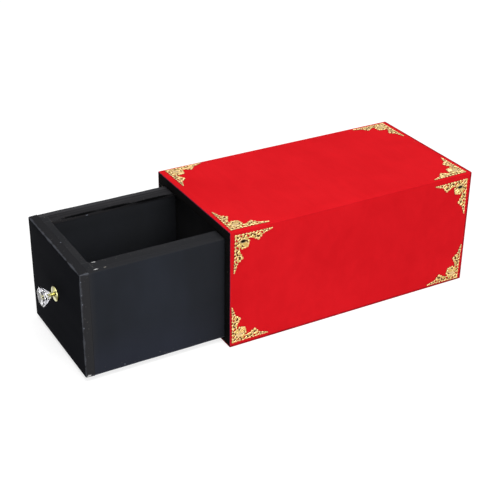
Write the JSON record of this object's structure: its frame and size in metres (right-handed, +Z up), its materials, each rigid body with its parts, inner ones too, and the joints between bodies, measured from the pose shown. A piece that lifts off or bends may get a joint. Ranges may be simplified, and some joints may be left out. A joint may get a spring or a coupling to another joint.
{
  "type": "magic drawer box",
  "caption": "Flock-covered box with a pull-out lipped drawer, a hidden inner drawer, a press catch and a cut crystal knob.",
  "frame": {"origin": "middle of the case's underside", "axes": "+Y towards the closed back of the case, -Y the way the drawers pull out, +Z up"},
  "size_m": [0.1378, 0.3922, 0.1119],
  "materials": {
    "red_flock": "scarlet flocked covering, short even pile",
    "stamped_brass": "pale gilt stamped sheet, bright on the relief",
    "turned_brass": "polished turned brass",
    "crystal": "clear cut crystal",
    "steel": "bright steel wire and sheet",
    "case_black": "board painted matt black where it shows",
    "drawer_black": "brushed satin black paint, worn along the edges",
    "inner_black": "thin matt black paint"
  },
  "bodies": {
    "case": {"case_back_panel": "case_black", "case_floor_panel": "case_black", "case_left_panel": "case_black", "case_nails": "steel", "case_right_panel": "case_black", "case_top_panel": "case_black", "covering_back": "red_flock", "covering_floor": "red_flock", "covering_wrap": "red_flock", "ornament_left_front_lower": "stamped_brass", "ornament_left_front_upper": "stamped_brass", "ornament_left_rear_lower": "stamped_brass", "ornament_left_rear_upper": "stamped_brass", "ornament_right_front_lower": "stamped_brass", "ornament_right_front_upper": "stamped_brass", "ornament_right_rear_lower": "stamped_brass", "ornament_right_rear_upper": "stamped_brass", "ornament_top_front_left": "stamped_brass", "ornament_top_front_right": "stamped_brass", "ornament_top_rear_left": "stamped_brass", "ornament_top_rear_right": "stamped_brass"},
    "inner_drawer": {"inner_back_panel": "inner_black", "inner_brads": "steel", "inner_floor_panel": "inner_black", "inner_front_panel": "inner_black", "inner_left_panel": "inner_black", "inner_right_panel": "inner_black"},
    "show_drawer": {"knob_crystal": "crystal", "knob_foot": "turned_brass", "knob_screw": "steel", "show_brads": "steel", "show_floor_panel": "drawer_black", "show_front_lip": "drawer_black", "show_front_panel": "drawer_black", "show_left_lip": "drawer_black", "show_left_panel": "drawer_black", "show_right_lip": "drawer_black", "show_right_panel": "drawer_black"},
    "catch": {"catch_flap": "steel", "catch_flap_covering": "red_flock", "catch_peg": "turned_brass"}
  },
  "joints": [
    {"name": "inner_slide", "type": "slide", "parent": "case", "child": "inner_drawer", "axis": [0, -1, 0], "range_m": [0, 0.128]},
    {"name": "show_slide", "type": "slide", "parent": "inner_drawer", "child": "show_drawer", "axis": [0, -1, 0], "range_m": [-0.128, 0.037]},
    {"name": "catch_press", "type": "hinge", "parent": "case", "child": "catch", "pos_m": [0, 0.0295, 0.0008], "axis": [1, 0, 0], "range_deg": [0, 4.49], "stiffness_Nm_per_rad": 1.2}
  ]
}
